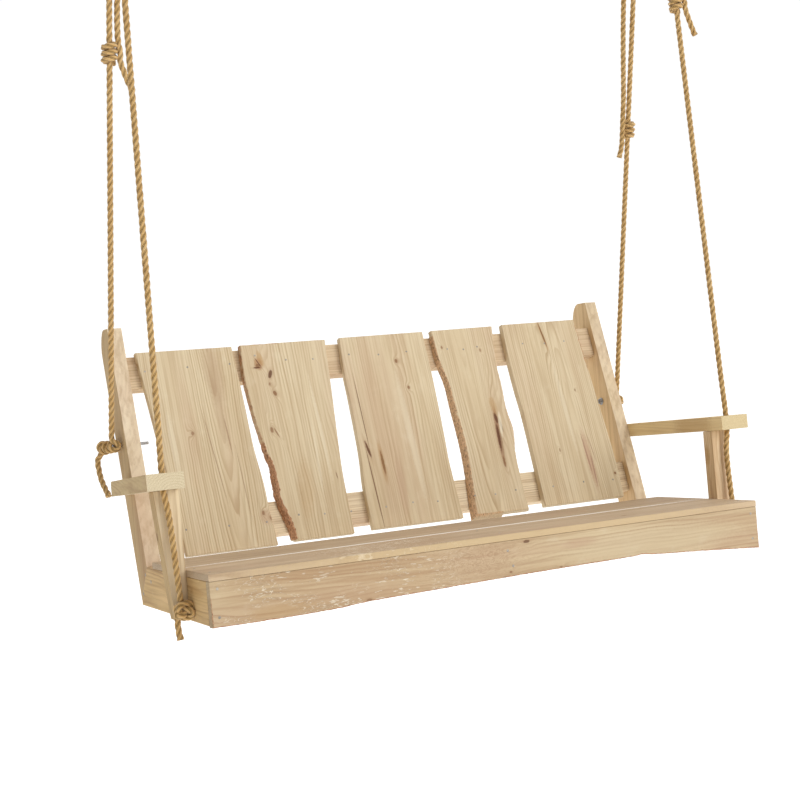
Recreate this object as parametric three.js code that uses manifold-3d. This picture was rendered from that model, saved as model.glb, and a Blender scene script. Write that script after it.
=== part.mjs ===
// Rustic porch swing: live-edge bench hung on four ropes from two ceiling hangers.
// Millimetres. +X along the bench, +Y toward the back rest, +Z up.
// Origin: midway between the two ceiling plates, on their mounting face.
import * as THREE from "three";
import { mergeVertices } from "three/addons/utils/BufferGeometryUtils.js";
import Module from "manifold-3d";

const wasm = await Module();
wasm.setup();

// ---- driving dimensions -------------------------------------------------
const GAP = 0.4; // clearance between touching pieces
const SEAT_LENGTH = 1524; // seat boards, end to end
const SEAT_DEPTH = 431;
const SLAT_T = 16;
const FRONT_SLAT_W = 206;
const SLAT_GAP = 6;
const APRON_T = 22;
const FRAME_T = 38; // thickness of the framing lumber
const LUMBER_W = 89; // width of the framing lumber
const RAIL_DROP = 116; // seat top to the bottom edge of a side rail
const RAIL_TIP = 12; // square tip at the rear bottom corner of a side rail
const STRETCHER_H = 88;
const BACK_GAP = 58; // rear seat board to the front of the back rest, at seat level
const LEAN = THREE.MathUtils.degToRad(16.8);
const POST_TOP = 595; // above the seat
const POST_FLAT = 38; // flat part of the post's top, ahead of its rounded rear corner
const POST_ROUND_DROP = 60;
const BOARD_T = 19;
const END_BOARD_INSET = 176; // inner face of a back post to the middle of the first board
const LOWER_RAIL_S = 29; // along the lean, from seat level
const UPPER_RAIL_S = 457;
const ARM_FRONT_Y = 112;
const ARM_TOP = 227; // above the seat, at the front end
const ARM_LAP = 32; // how far the arm rest runs past the front face of the back post
const ARM_W_FRONT = 88;
const ARM_W_REAR = 45;
const ARM_DROP = { left: 26, right: 12 }; // fall toward the back
const ARM_CORNER_R = 15;
const ARM_POST_Y = 159;
const ARM_POST_D = 38;
const ARM_POST_W_FOOT = 33;
const ARM_POST_W_TOP = 66;
const ROPE_D = 14;
const HOLE_CLEARANCE = 6; // hole in the arm rest, over the rope's diameter
const ROPE_HOLE_OUT = 42; // outward of the side rail
const ROPE_HOLE_Y = 144;
const HANG_H = 1940; // seat top to the axis of the hanger pin
const HANG_Y = 215; // behind the apron's face
const HANG_OUT = 5; // outward of the side rail
const PIN_D = 12; // hanger pin that the ropes go over
const HANGER_LEG_X = 27; // leg offset from the hanger's middle
const HANGER_LEG_D = 11;
const HANGER_DROP = 50; // plate to the pin's axis
const PLATE_T = 6;
const PLATE_W = 64;
const PLATE_L = 110;
const BOLT_D = 8;
const BOLT_RING_R = 9;
const BOLT_ROD_D = 6;
const BOLT_TIP = 33; // thread beyond the wood, on the inner side
const NUT_AF = 13;
const NUT_H = 7;
const WASHER_D = 21;
const REAR_BOLT_Z = 290;
const FRONT_BOLT_Z = -88;
const KNOT_R = 21;
const REST_LEAN = THREE.MathUtils.degToRad(6.5); // the bench hangs with its weight under the pins

// ---- dependent sizes ----------------------------------------------------
const HALF = SEAT_LENGTH / 2;
const RAIL_INNER = HALF - FRAME_T;
const TAN = Math.tan(LEAN);
const COS = Math.cos(LEAN);
const SIN = Math.sin(LEAN);
const POST_FOOT_Y = SEAT_DEPTH + BACK_GAP; // front face of the back posts at seat level
const ARM_LENGTH = POST_FOOT_Y + ARM_TOP * TAN + ARM_LAP - ARM_FRONT_Y;
const BOARD_PITCH = (RAIL_INNER - END_BOARD_INSET) / 2;
const UNDER = -SLAT_T - GAP; // top of everything that carries the slats
const POST_W = LUMBER_W / COS; // post depth measured level
const BEARING_DROP = PLATE_T + HANGER_DROP; // mounting face to the pin's axis
const ROPE_R = ROPE_D / 2;
const ROPE_HOLE_D = ROPE_D + HOLE_CLEARANCE;
const PIN_OFFSET = ROPE_R + 1; // the two ropes of a side lie next to each other on their pin
const SIDES = { left: -1, right: 1 };

const postFront = (z) => POST_FOOT_Y + z * TAN;
const postRear = (z) => postFront(z) + POST_W;

// ---- materials ----------------------------------------------------------
const MATERIALS = {
  wood_board: { color: 0xd3bb94, roughness: 0.72, metalness: 0 },
  wood_frame: { color: 0xcdb084, roughness: 0.74, metalness: 0 },
  wood_apron: { color: 0xd2ba90, roughness: 0.72, metalness: 0 },
  rope: { color: 0xc79a5a, roughness: 0.85, metalness: 0 },
  zinc_steel: { color: 0x9a9a96, roughness: 0.42, metalness: 0.9 },
};

const swing = new THREE.Group();
const hung = new THREE.Group(); // turns about the hanger pins
hung.position.z = -BEARING_DROP;
hung.rotation.x = -REST_LEAN;
swing.add(hung);
const seat = new THREE.Group(); // everything measured from the apron's top edge
seat.position.set(0, -HANG_Y, -HANG_H);
hung.add(seat);

function addMesh(parent, name, geometry, material) {
  const mesh = new THREE.Mesh(geometry, new THREE.MeshStandardMaterial(MATERIALS[material]));
  mesh.name = name;
  parent.add(mesh);
  return mesh;
}

// ---- geometry helpers ---------------------------------------------------
const V = (x, y, z) => new THREE.Vector3(x, y, z);

function bare(geometry) {
  const g = geometry.index ? geometry.toNonIndexed() : geometry.clone();
  g.deleteAttribute("normal");
  g.deleteAttribute("uv");
  return mergeVertices(g, 1e-4);
}

function toSolid(geometry) {
  const g = bare(geometry);
  return new wasm.Manifold(new wasm.Mesh({
    numProp: 3,
    vertProperties: new Float32Array(g.attributes.position.array),
    triVerts: new Uint32Array(g.index.array),
  }));
}

function fromSolid(solid) {
  const mesh = solid.getMesh();
  const positions = new Float32Array(mesh.numVert * 3);
  for (let i = 0; i < mesh.numVert; i += 1) {
    for (let k = 0; k < 3; k += 1) {
      positions[3 * i + k] = mesh.vertProperties[mesh.numProp * i + k];
    }
  }
  const g = new THREE.BufferGeometry();
  g.setAttribute("position", new THREE.BufferAttribute(positions, 3));
  g.setIndex(Array.from(mesh.triVerts));
  return g;
}

const cut = (geometry, ...tools) =>
  fromSolid(tools.reduce((solid, tool) => solid.subtract(toSolid(tool)), toSolid(geometry)));
const join = (first, ...rest) =>
  fromSolid(rest.reduce((solid, other) => solid.add(toSolid(other)), toSolid(first)));
const common = (a, b) => fromSolid(toSolid(a).intersect(toSolid(b)));

// An outline drawn in the plane of `ux` and `uy`, extruded along their cross product.
function slab(outline, depth, origin, ux, uy) {
  const shape = outline instanceof THREE.Shape
    ? outline
    : new THREE.Shape(outline.map(([a, b]) => new THREE.Vector2(a, b)));
  const g = new THREE.ExtrudeGeometry(shape, { depth, bevelEnabled: false, curveSegments: 10 });
  const basis = new THREE.Matrix4().makeBasis(ux, uy, ux.clone().cross(uy));
  basis.setPosition(origin);
  g.applyMatrix4(basis);
  return g;
}

const X = V(1, 0, 0);
const Y = V(0, 1, 0);
const Z = V(0, 0, 1);
const UP_LEAN = V(0, SIN, COS); // up the back rest

const sideProfile = (outline, x, thickness) => slab(outline, thickness, V(x, 0, 0), Y, Z);
const frontProfile = (outline, yRear, depth) => slab(outline, depth, V(0, yRear, 0), X, Z);

function box(x0, x1, y0, y1, z0, z1) {
  const g = new THREE.BoxGeometry(x1 - x0, y1 - y0, z1 - z0);
  g.translate((x0 + x1) / 2, (y0 + y1) / 2, (z0 + z1) / 2);
  return g;
}

// A closed live edge drawn smoothly through a few hand-picked points.
function smooth(points, divisions) {
  const curve = new THREE.SplineCurve(points.map(([a, b]) => new THREE.Vector2(a, b)));
  return curve.getPoints(divisions).map((p) => [p.x, p.y]);
}

// A rod along X, from x0 to x1.
function rodX(x0, x1, y, z, radius, sides = 16) {
  const g = new THREE.CylinderGeometry(radius, radius, Math.abs(x1 - x0), sides);
  g.rotateZ(Math.PI / 2);
  g.translate((x0 + x1) / 2, y, z);
  return g;
}

function tube(points, radius, steps, sides = 8) {
  const section = new THREE.Shape();
  for (let i = 0; i < sides; i += 1) {
    const a = (2 * Math.PI * i) / sides;
    const place = i === 0 ? "moveTo" : "lineTo";
    section[place](radius * Math.cos(a), radius * Math.sin(a));
  }
  const path = new THREE.CatmullRomCurve3(points, false, "centripetal");
  return new THREE.ExtrudeGeometry(section, { steps, extrudePath: path, bevelEnabled: false });
}

// A round-ended body between two points.
function capsule(a, b, radius) {
  const axis = b.clone().sub(a);
  const g = new THREE.CapsuleGeometry(radius, axis.length(), 4, 12);
  g.applyQuaternion(new THREE.Quaternion().setFromUnitVectors(Y, axis.clone().normalize()));
  g.translate((a.x + b.x) / 2, (a.y + b.y) / 2, (a.z + b.z) / 2);
  return g;
}

// ---- seat ---------------------------------------------------------------
function buildSeat() {
  // places along the bench, as shares of its half length, and height
  const liveEdge = smooth([
    [1, -126], [0.77, -113], [0.57, -103], [0.51, -98], [0.45, -100], [0.18, -102], [-0.09, -105],
    [-0.36, -109], [-0.52, -112], [-0.62, -117], [-0.84, -119], [-1, -118],
  ].map(([share, z]) => [share * HALF, z]), 44);
  const apron = [[-HALF, UNDER], [HALF, UNDER], ...liveEdge];
  addMesh(seat, "front_apron", frontProfile(apron.reverse(), APRON_T, APRON_T), "wood_apron");
  addMesh(seat, "seat_board_front",
    box(-HALF, HALF, 0, FRONT_SLAT_W, -SLAT_T, 0), "wood_board");
  addMesh(seat, "seat_board_rear",
    box(-HALF, HALF, FRONT_SLAT_W + SLAT_GAP, SEAT_DEPTH, -SLAT_T, 0), "wood_board");

  const inner = APRON_T + GAP;
  addMesh(seat, "rear_stretcher",
    box(-RAIL_INNER + GAP, RAIL_INNER - GAP, SEAT_DEPTH - FRAME_T, SEAT_DEPTH,
      UNDER - STRETCHER_H, UNDER), "wood_frame");
  addMesh(seat, "centre_support",
    box(-FRAME_T / 2, FRAME_T / 2, inner, SEAT_DEPTH - FRAME_T - GAP,
      UNDER - STRETCHER_H + 14, UNDER), "wood_frame");
}

// Side rail and back post meet on a slanted joint at the rear end of the rail.
function buildSideFrame(side, sign) {
  const outer = sign * HALF;
  const x0 = Math.min(outer, sign * RAIL_INNER);
  const tipZ = -RAIL_DROP + RAIL_TIP;
  const railTop = [postFront(UNDER), UNDER];
  const railTip = [postRear(tipZ), tipZ];
  const bore = (y, z) => rodX(x0 - 20, x0 + FRAME_T + 20, y, z, BOLT_D / 2 + 0.35);

  const rail = sideProfile([
    [APRON_T + GAP, UNDER], [APRON_T + GAP, -RAIL_DROP], [railTip[0], -RAIL_DROP], railTip, railTop,
  ].reverse(), x0, FRAME_T);
  addMesh(seat, `side_rail_${side}`, cut(rail, bore(ROPE_HOLE_Y, FRONT_BOLT_Z)), "wood_frame");

  const slant = V(0, railTip[0] - railTop[0], railTip[1] - railTop[1]).normalize();
  const off = V(0, -slant.z, slant.y).multiplyScalar(GAP * 1.5);
  const shoulder = POST_TOP - POST_ROUND_DROP;
  const flatEnd = postFront(POST_TOP) + POST_FLAT;
  const reach = postRear(shoulder) - flatEnd;
  const round = [0, 1, 2, 3, 4, 5, 6, 7, 8].map((part) => {
    const turn = (part * Math.PI) / 16;
    return [flatEnd + reach * Math.cos(turn), shoulder + POST_ROUND_DROP * Math.sin(turn)];
  });
  const post = sideProfile([
    [railTop[0] + off.y, railTop[1] + off.z],
    [railTip[0] + off.y, railTip[1] + off.z],
    ...round,
    [postFront(POST_TOP), POST_TOP],
  ], x0, FRAME_T);
  addMesh(seat, `back_post_${side}`, cut(post, bore(rearBoltY(), REAR_BOLT_Z)), "wood_frame");
}

const rearBoltY = () => (postFront(REAR_BOLT_Z) + postRear(REAR_BOLT_Z)) / 2;

// ---- back rest ----------------------------------------------------------
// Left edge from the top down, then right edge from the bottom up: x from the board's middle,
// and s up the lean.
const BACK_BOARDS = [
  {
    left: [[-151, 550], [-137, 410], [-125, 262], [-114, 130], [-106, -2]],
    right: [[141, -2], [135, 102], [133, 167], [124, 271], [121, 414], [115, 551]],
  },
  {
    left: [[-134, 553], [-139, 471], [-138, 427], [-131, 340], [-118, 254], [-107, 209],
      [-105, 158], [-105, 121], [-94, 76], [-84, 32], [-81, 2]],
    right: [[87, 2], [87, 109], [88, 170], [93, 250], [107, 425], [116, 555]],
  },
  {
    left: [[-114, 557], [-120, 451], [-120, 376], [-123, 223], [-132, 120], [-131, 6]],
    right: [[146, 6], [141, 157], [143, 220], [146, 300], [149, 440], [148, 560]],
  },
  {
    left: [[-98, 561], [-93, 466], [-80, 402], [-76, 325], [-71, 245], [-73, 151], [-86, 8]],
    right: [[84, 8], [82, 107], [85, 180], [95, 240], [89, 309], [92, 388], [92, 451],
      [106, 564]],
  },
  {
    left: [[-133, 566], [-137, 476], [-136, 369], [-132, 289], [-132, 174], [-134, 9]],
    right: [[138, 9], [141, 130], [136, 250], [131, 340], [127, 428], [119, 569]],
  },
];

const onLean = (s, n) => V(0, POST_FOOT_Y + s * SIN + n * COS, s * COS - n * SIN);

function buildBack() {
  BACK_BOARDS.forEach((board, index) => {
    const middle = (index - 2) * BOARD_PITCH;
    const left = smooth(board.left, 2 * board.left.length);
    const right = smooth(board.right, 2 * board.right.length);
    const outline = [...left, ...right].map(([x, up]) => [middle + x, up]);
    const name = `back_board_${index + 1}`;
    addMesh(seat, name, slab(outline, BOARD_T, onLean(0, BOARD_T), X, UP_LEAN), "wood_board");
  });
  const rail = (name, s) => {
    const half = RAIL_INNER - GAP;
    const outline = [[-half, s], [half, s], [half, s + LUMBER_W], [-half, s + LUMBER_W]];
    const rear = onLean(0, BOARD_T + GAP + FRAME_T);
    addMesh(seat, name, slab(outline, FRAME_T, rear, X, UP_LEAN), "wood_frame");
  };
  rail("lower_back_rail", LOWER_RAIL_S);
  rail("upper_back_rail", UPPER_RAIL_S);
}

// ---- arms ---------------------------------------------------------------
// Arm-rest coordinates: out = away from the bench, back = toward the post, from the front end.
const armOut = (back) => ARM_W_FRONT + (ARM_W_REAR - ARM_W_FRONT) * (back / ARM_LENGTH);

function armTransform(side) {
  const slope = -Math.asin(ARM_DROP[side] / ARM_LENGTH);
  const m = new THREE.Matrix4().makeRotationX(slope);
  m.setPosition(0, ARM_FRONT_Y, ARM_TOP);
  return m;
}

function buildArm(side, sign) {
  const face = sign * (HALF + GAP);
  const outward = (out) => face + sign * out;
  const plan = new THREE.Shape([
    new THREE.Vector2(face, 0),
    new THREE.Vector2(outward(armOut(0)), 0),
    new THREE.Vector2(outward(armOut(ARM_LENGTH)), ARM_LENGTH),
    new THREE.Vector2(face, ARM_LENGTH),
  ]);
  const board = slab(plan, FRAME_T, V(0, 0, -FRAME_T), X, Y);
  const hole = new THREE.CylinderGeometry(ROPE_HOLE_D / 2, ROPE_HOLE_D / 2, 3 * FRAME_T, 20);
  hole.rotateX(Math.PI / 2);
  hole.translate(sign * (HALF + ROPE_HOLE_OUT), ROPE_HOLE_Y - ARM_FRONT_Y, -FRAME_T / 2);

  const r = ARM_CORNER_R;
  const profile = new THREE.Shape();
  profile.moveTo(-1, -FRAME_T - 1);
  profile.lineTo(ARM_LENGTH + 1, -FRAME_T - 1);
  profile.lineTo(ARM_LENGTH + 1, -r);
  profile.lineTo(ARM_LENGTH, -r);
  profile.absarc(ARM_LENGTH - r, -r, r, 0, Math.PI / 2, false);
  profile.lineTo(ARM_LENGTH - r, 1);
  profile.lineTo(-1, 1);
  const envelope = slab(profile, 200, V(sign * HALF - 100 + sign * 50, 0, 0), Y, Z);
  const arm = cut(common(board, envelope), hole);
  arm.applyMatrix4(armTransform(side));
  addMesh(seat, `armrest_${side}`, arm, "wood_frame");

  const foot = -RAIL_DROP + 4;
  const upright = frontProfile([
    [outward(0), foot], [outward(ARM_POST_W_FOOT), foot],
    [outward(ARM_POST_W_TOP), ARM_TOP + 10], [outward(0), ARM_TOP + 10],
  ], ARM_POST_Y + ARM_POST_D, ARM_POST_D);
  const above = slab([[-50, -FRAME_T - GAP], [ARM_LENGTH, -FRAME_T - GAP], [ARM_LENGTH, 200],
    [-50, 200]], 200, V(sign * HALF - 100, 0, 0), Y, Z);
  above.applyMatrix4(armTransform(side));
  addMesh(seat, `arm_post_${side}`, cut(upright, above), "wood_frame");
}

// ---- eye bolts that the ropes are tied to -------------------------------
function eyeBolt(sign, y, z, grow = 0) {
  const outer = sign * HALF;
  const ringX = outer + sign * (GAP + 4 + BOLT_RING_R);
  const ring = new THREE.TorusGeometry(BOLT_RING_R, BOLT_ROD_D / 2 + grow, 8, 14);
  ring.rotateX(Math.PI / 2);
  ring.translate(ringX, y, z);
  const shankEnd = outer - sign * (FRAME_T + BOLT_TIP);
  const shank = rodX(shankEnd, ringX - sign * BOLT_RING_R, y, z, BOLT_D / 2 + grow, 12);
  return join(shank, ring);
}

function buildBolt(label, sign, y, z) {
  addMesh(seat, `eye_bolt_${label}`, eyeBolt(sign, y, z), "zinc_steel");
  const wood = sign * (RAIL_INNER - GAP);
  const hex = new THREE.CylinderGeometry(NUT_AF / Math.sqrt(3), NUT_AF / Math.sqrt(3), NUT_H, 6);
  hex.rotateZ(Math.PI / 2);
  hex.translate(wood - sign * (2 + NUT_H / 2 - 0.2), y, z);
  const washer = rodX(wood, wood - sign * 2, y, z, WASHER_D / 2, 20);
  const bore = rodX(wood + sign * 5, wood - sign * 20, y, z, BOLT_D / 2 + 0.35, 12);
  addMesh(seat, `nut_and_washer_${label}`, cut(join(hex, washer), bore), "zinc_steel");
}

// ---- ropes --------------------------------------------------------------
// Chosen places on each rope, measured from the seat board: knot = outward and height,
// shift = how far the knot sits outward of its rope, end = what hangs out of a front knot,
// hitch = height, spread = how far the returning strand bows aside, tail = outward and down.
const ROPES = {
  rear_left: { knot: [24, 290], hitch: 1243, spread: 22, tail: [-26, -72] },
  rear_right: { knot: [20, 290], shift: 10, hitch: 1080, spread: 32, tail: [-14, -66] },
  front_left: { knot: [23, -88], hitch: 1452, spread: 20, tail: [-20, -66] },
  front_right: { knot: [32, -88], end: 14, hitch: 1378, spread: 22, tail: [30, -70], turn: 1 },
};
const TURN_IN = -1; // the returning strand lies on the bench's side unless the rope says turn
const FRONT_END = 44;
const REAR_KNOT_L = 70; // along the bolt's ring, backward
const HITCH_R = 22;
const HITCH_H = 48;
const RETURN_GAP = 3; // between the two strands where they enter a hitch

const ropePoint = (sign, out, y, z) => V(sign * (HALF + out), y, z);

// Where a rope crosses a level, on the straight pull between two of its points.
function pull(a, b, z) {
  return a.clone().lerp(b, (z - a.z) / (b.z - a.z));
}

function buildKnot(label, sign, front, boltY, spec) {
  const z = spec.knot[1];
  const out = spec.knot[0] + (spec.shift ?? 0);
  const a = ropePoint(sign, out, boltY - (front ? 21 : 4), z);
  const b = ropePoint(sign, out, boltY + (front ? -7 : REAR_KNOT_L - 4), z - (front ? 0 : 4));
  const bolt = eyeBolt(sign, boltY, z, GAP);
  addMesh(seat, `knot_${label}`, cut(capsule(a, b, KNOT_R), bolt), "rope");

  const drop = (dx, dy, dz) => V(b.x + sign * dx, b.y + dy, b.z + dz);
  const tail = front
    ? [V(a.x, a.y + 3, z - KNOT_R - GAP), V(a.x, a.y + 3, z - KNOT_R - (spec.end ?? FRONT_END))]
    : [drop(3, 2, -KNOT_R - 1), drop(8, 12, -48), drop(8, 4, -84), drop(3, -28, -124)];
  addMesh(seat, `knot_tail_${label}`, tube(tail, ROPE_R, front ? 3 : 12), "rope");
}

// Three turns of the returning end around its own rope, and the end left over.
function buildHitch(label, sign, spec, low, axis) {
  const beside = V(sign * (spec.turn ?? TURN_IN), 0, 0);
  const middle = low.clone().addScaledVector(axis, HITCH_H / 2 + GAP)
    .addScaledVector(beside, (ROPE_D + RETURN_GAP) / 2);
  const body = new THREE.CylinderGeometry(HITCH_R, HITCH_R, HITCH_H, 18);
  body.applyQuaternion(new THREE.Quaternion().setFromUnitVectors(Y, axis));
  body.translate(middle.x, middle.y, middle.z);
  addMesh(seat, `hitch_${label}`, body, "rope");

  const [out, down] = spec.tail;
  const side = Math.sign(out) * (ROPE_D + 1) + (out < 0 ? -5 : 1);
  const from = low.clone().add(V(sign * side, 0, -2 - Math.abs(out) * 0.18));
  const end = [
    from, from.clone().add(V(sign * out * 0.35, 0, down * 0.45)),
    from.clone().add(V(sign * out, 4, down)),
  ];
  addMesh(seat, `hitch_tail_${label}`, tube(end, ROPE_R, 6), "rope");
}

function buildRope(label, sign, spec) {
  const front = label.startsWith("front");
  const boltY = front ? ROPE_HOLE_Y : rearBoltY();
  const [knotOut, knotZ] = spec.knot;
  const ring = PIN_D / 2 + ROPE_R + 0.6; // pin axis to the rope's middle
  const pinOut = HANG_OUT + (front ? PIN_OFFSET : -PIN_OFFSET);
  const near = front ? -1 : 1; // the main strand leaves on its own side of the pin
  const onPin = (angle) => ropePoint(sign, pinOut, HANG_Y + near * ring * Math.cos(angle),
    HANG_H + ring * Math.sin(angle));
  const mainTop = onPin(0);
  const returnTop = onPin(Math.PI);

  const start = ropePoint(sign, knotOut + (front ? 3 : 0), boltY - (front ? 9 : 0),
    knotZ + KNOT_R + 1.6);
  const through = front
    ? ropePoint(sign, ROPE_HOLE_OUT, ROPE_HOLE_Y, ARM_TOP - FRAME_T / 2)
    : pull(start, mainTop, knotZ + 60);
  const axis = mainTop.clone().sub(through).normalize();
  const low = pull(through, mainTop, spec.hitch - HITCH_H / 2);
  const high = low.clone().addScaledVector(axis, HITCH_H + 2 * GAP);
  const armUnder = ARM_TOP - FRAME_T;
  const strand = front
    ? [start, ropePoint(sign, ROPE_HOLE_OUT - 8, ROPE_HOLE_Y, armUnder - 60),
      ropePoint(sign, ROPE_HOLE_OUT - 0.8, ROPE_HOLE_Y, armUnder - 8), through,
      ropePoint(sign, ROPE_HOLE_OUT, ROPE_HOLE_Y, ARM_TOP + 6),
      pull(through, mainTop, ARM_TOP + 120), low]
    : [start, through, pull(start, mainTop, 700), low];
  addMesh(seat, `rope_${label}`, tube(strand, ROPE_R, 30), "rope");
  buildKnot(label, sign, front, boltY, spec);
  buildHitch(label, sign, spec, low, axis);

  // up over the pin and back down to the hitch
  const side = sign * (spec.turn ?? TURN_IN);
  const returnLow = high.clone().add(V(side * (ROPE_D + RETURN_GAP), 0, 0));
  const bow = pull(high, mainTop, (spec.hitch + HANG_H) / 2).add(V(side * spec.spread, 0, 0));
  const under = (p) => p.clone().add(V(0, 0, -10));
  const turn = [0, 1, 2, 3, 4, 5, 6].map((part) => onPin((part * Math.PI) / 6));
  const crown = tube([under(mainTop), ...turn, under(returnTop)], ROPE_R, 12);
  const up = tube([high, pull(high, mainTop, HANG_H - 130), mainTop], ROPE_R, 14);
  const down = tube([returnTop, pull(returnLow, returnTop, HANG_H - 130), bow, returnLow],
    ROPE_R, 18);
  const bight = join(up, crown, down);
  addMesh(seat, `bight_${label}`, bight, "rope");
}

// ---- ceiling hangers ----------------------------------------------------
function rodZ(x, y, z0, z1, radius, sides = 16) {
  const g = new THREE.CylinderGeometry(radius, radius, z1 - z0, sides);
  g.rotateX(Math.PI / 2);
  g.translate(x, y, (z0 + z1) / 2);
  return g;
}

function buildHanger(side, sign) {
  const x = sign * (HALF + HANG_OUT);
  const plate = box(x - PLATE_W / 2, x + PLATE_W / 2, -PLATE_L / 2, PLATE_L / 2, -PLATE_T, 0);
  const holes = [-1, 1].map((end) => rodZ(x, end * (PLATE_L / 2 - 14), -20, 20, 3.2, 14));
  addMesh(swing, `ceiling_plate_${side}`, cut(plate, ...holes), "zinc_steel");

  const legR = HANGER_LEG_D / 2;
  const legs = [-1, 1].map((end) =>
    rodZ(x + end * HANGER_LEG_X, 0, -BEARING_DROP - legR - 3, -PLATE_T - GAP, legR));
  const pin = rodX(x - HANGER_LEG_X, x + HANGER_LEG_X, 0, -BEARING_DROP, PIN_D / 2 - 0.8, 20);
  addMesh(swing, `ceiling_hanger_${side}`, join(...legs, pin), "zinc_steel");
}

buildSeat();
buildBack();
for (const [side, sign] of Object.entries(SIDES)) {
  buildSideFrame(side, sign);
  buildArm(side, sign);
  buildBolt(`rear_${side}`, sign, rearBoltY(), REAR_BOLT_Z);
  buildBolt(`front_${side}`, sign, ROPE_HOLE_Y, FRONT_BOLT_Z);
  buildHanger(side, sign);
}
for (const [label, spec] of Object.entries(ROPES)) {
  buildRope(label, SIDES[label.split("_")[1]], spec);
}

export default swing;
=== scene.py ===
import math

import bmesh
import bpy
from mathutils import Matrix, Vector, noise


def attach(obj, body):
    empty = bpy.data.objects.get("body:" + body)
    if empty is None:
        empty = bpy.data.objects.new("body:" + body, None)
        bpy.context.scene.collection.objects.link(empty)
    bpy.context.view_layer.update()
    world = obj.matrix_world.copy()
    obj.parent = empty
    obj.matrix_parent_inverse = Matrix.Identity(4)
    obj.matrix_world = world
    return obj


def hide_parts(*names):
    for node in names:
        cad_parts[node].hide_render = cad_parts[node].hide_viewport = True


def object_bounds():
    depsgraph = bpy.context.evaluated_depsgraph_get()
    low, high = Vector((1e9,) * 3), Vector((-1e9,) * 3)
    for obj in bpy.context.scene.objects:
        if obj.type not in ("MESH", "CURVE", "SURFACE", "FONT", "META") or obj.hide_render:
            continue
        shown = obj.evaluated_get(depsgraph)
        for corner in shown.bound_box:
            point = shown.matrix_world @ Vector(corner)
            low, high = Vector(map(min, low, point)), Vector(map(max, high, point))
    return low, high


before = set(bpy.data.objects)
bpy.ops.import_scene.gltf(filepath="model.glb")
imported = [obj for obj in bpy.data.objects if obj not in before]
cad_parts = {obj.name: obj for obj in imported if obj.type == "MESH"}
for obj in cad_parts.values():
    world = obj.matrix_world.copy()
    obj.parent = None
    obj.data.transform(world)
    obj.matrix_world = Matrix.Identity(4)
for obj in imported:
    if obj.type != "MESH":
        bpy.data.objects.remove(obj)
cad_low, cad_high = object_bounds()

# ---- sizes shared with the CAD, in metres ----
HALF = 0.762  # half the seat boards' length
FRAME_T = 0.038
LUMBER_W = 0.089
LEAN = math.radians(16.8)  # back rest
TAN, COS, SIN = math.tan(LEAN), math.cos(LEAN), math.sin(LEAN)
POST_FOOT_Y = 0.489
POST_W = LUMBER_W / COS
BOARD_T = 0.019
SLAT_T = 0.016
APRON_T = 0.022
ARM_TOP = 0.227
ARM_FRONT_Y = 0.112
ARM_LAP = 0.032  # the arm reaches this far past the post's front
ARM_LENGTH = POST_FOOT_Y + ARM_TOP * TAN + ARM_LAP - ARM_FRONT_Y
ARM_DROP = {"left": 0.026, "right": 0.012}
ROPE_D = 0.014
ROPE_R = ROPE_D / 2
ROPE_HOLE_OUT = 0.042
ROPE_HOLE_Y = 0.144
HANG_H = 1.94
HANG_Y = 0.215
HANG_OUT = 0.005
PIN_R = 0.006
BEARING_DROP = 0.056
REST_LEAN = math.radians(6.5)
REAR_BOLT_Z = 0.29
FRONT_BOLT_Z = -0.088
KNOT_R = 0.021
HITCH_H = 0.048
PLATE_T = 0.006
SIDES = {"left": -1, "right": 1}

# seat coordinates: X along the bench, Y back from the apron's face, Z up from the seat boards
SEAT = (
    Matrix.Translation((0, 0, -BEARING_DROP))
    @ Matrix.Rotation(-REST_LEAN, 4, "X")
    @ Matrix.Translation((0, -HANG_Y, -HANG_H))
)
TURN = SEAT.to_3x3()


def at(x, y, z):
    """A point given in seat coordinates, in the shared frame."""
    return SEAT @ Vector((x, y, z))


# ---- camera ----
CAM_PLACE = Vector((-1.7342, -3.0001, 0.343))
CAM_YAW, CAM_PITCH, CAM_ROLL = -0.45875, 0.003, -0.08501
FOCAL_PX = 1428.66
PICTURE_PX = 800
AXIS_PX = (402.86, 396.39)  # where the lens axis meets the picture
SENSOR_MM = 36


def link(obj):
    bpy.context.scene.collection.objects.link(obj)


def make_camera():
    ahead = Vector((
        -math.sin(CAM_YAW) * math.cos(CAM_PITCH),
        math.cos(CAM_YAW) * math.cos(CAM_PITCH),
        math.sin(CAM_PITCH),
    ))
    level = Vector((math.cos(CAM_YAW), math.sin(CAM_YAW), 0))
    over = level.cross(ahead)
    right = level * math.cos(CAM_ROLL) + over * math.sin(CAM_ROLL)
    up = -level * math.sin(CAM_ROLL) + over * math.cos(CAM_ROLL)
    pose = Matrix((right, up, -ahead)).transposed().to_4x4()
    pose.translation = CAM_PLACE
    data = bpy.data.cameras.new("camera")
    data.sensor_width = SENSOR_MM
    data.lens = FOCAL_PX / PICTURE_PX * SENSOR_MM
    data.shift_x = (PICTURE_PX / 2 - AXIS_PX[0]) / PICTURE_PX
    data.shift_y = -(PICTURE_PX / 2 - AXIS_PX[1]) / PICTURE_PX
    data.clip_start = 0.05
    camera = bpy.data.objects.new("camera", data)
    link(camera)
    camera.matrix_world = SEAT @ pose
    bpy.context.scene.camera = camera


make_camera()


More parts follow.
